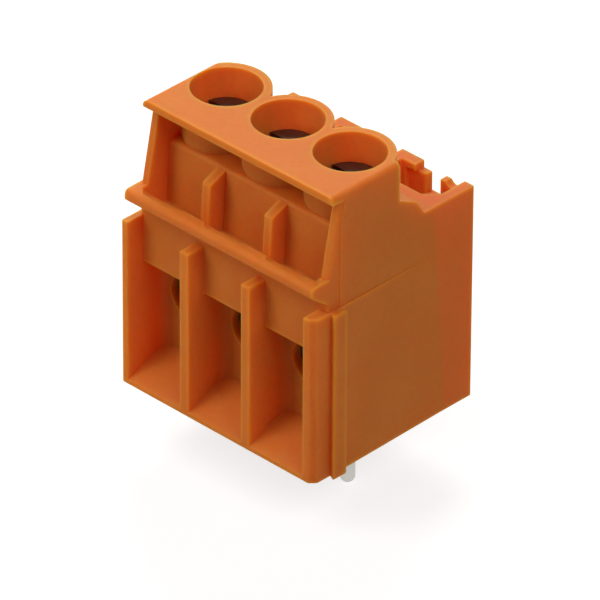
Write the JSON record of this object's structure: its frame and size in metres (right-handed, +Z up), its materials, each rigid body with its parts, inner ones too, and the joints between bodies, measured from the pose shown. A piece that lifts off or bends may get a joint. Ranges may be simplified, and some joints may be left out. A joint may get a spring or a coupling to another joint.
{
  "type": "pcb terminal block",
  "caption": "Orange moulded screw terminal block for a circuit board, with wire funnels in front, a marker recess above them and rising-yoke clamps worked by slotted screws.",
  "frame": {"origin": "on the board face, on the axis of the middle pole's solder pin", "axes": "+Z up from the board, +X along the row of poles towards the interlock tongue, wires enter from the -Y side"},
  "size_m": [0.0245, 0.0204, 0.0347],
  "materials": {
    "polyamide": "satin moulded",
    "zinc_plated_steel": "bright zinc plate",
    "tinned_copper": "matt tin plate"
  },
  "bodies": {
    "housing": {"housing": "polyamide", "current_bar_1": "tinned_copper", "current_bar_2": "tinned_copper", "current_bar_3": "tinned_copper", "solder_pin_1": "tinned_copper", "solder_pin_2": "tinned_copper", "solder_pin_3": "tinned_copper"},
    "clamp_screw_1": {"clamp_screw_1": "zinc_plated_steel"},
    "clamping_yoke_1": {"clamping_yoke_1": "zinc_plated_steel"},
    "clamp_screw_2": {"clamp_screw_2": "zinc_plated_steel"},
    "clamping_yoke_2": {"clamping_yoke_2": "zinc_plated_steel"},
    "clamp_screw_3": {"clamp_screw_3": "zinc_plated_steel"},
    "clamping_yoke_3": {"clamping_yoke_3": "zinc_plated_steel"}
  },
  "joints": [
    {"name": "screw_turn_1", "type": "hinge", "parent": "housing", "child": "clamp_screw_1", "pos_m": [-0.00762, 0, 0], "axis": [0, 0, 1], "range_deg": [-2006, 0]},
    {"name": "yoke_lift_1", "type": "slide", "parent": "housing", "child": "clamping_yoke_1", "axis": [0, 0, 1], "range_m": [0, 0.0039]},
    {"name": "screw_turn_2", "type": "hinge", "parent": "housing", "child": "clamp_screw_2", "pos_m": [0, 0, 0], "axis": [0, 0, 1], "range_deg": [-2006, 0]},
    {"name": "yoke_lift_2", "type": "slide", "parent": "housing", "child": "clamping_yoke_2", "axis": [0, 0, 1], "range_m": [0, 0.0039]},
    {"name": "screw_turn_3", "type": "hinge", "parent": "housing", "child": "clamp_screw_3", "pos_m": [0.00762, 0, 0], "axis": [0, 0, 1], "range_deg": [-2006, 0]},
    {"name": "yoke_lift_3", "type": "slide", "parent": "housing", "child": "clamping_yoke_3", "axis": [0, 0, 1], "range_m": [0, 0.0039]}
  ],
  "couplings": [
    {"joint": "screw_turn_1", "follows": "yoke_lift_1", "rad_per_m": -8976},
    {"joint": "screw_turn_2", "follows": "yoke_lift_2", "rad_per_m": -8976},
    {"joint": "screw_turn_3", "follows": "yoke_lift_3", "rad_per_m": -8976}
  ]
}
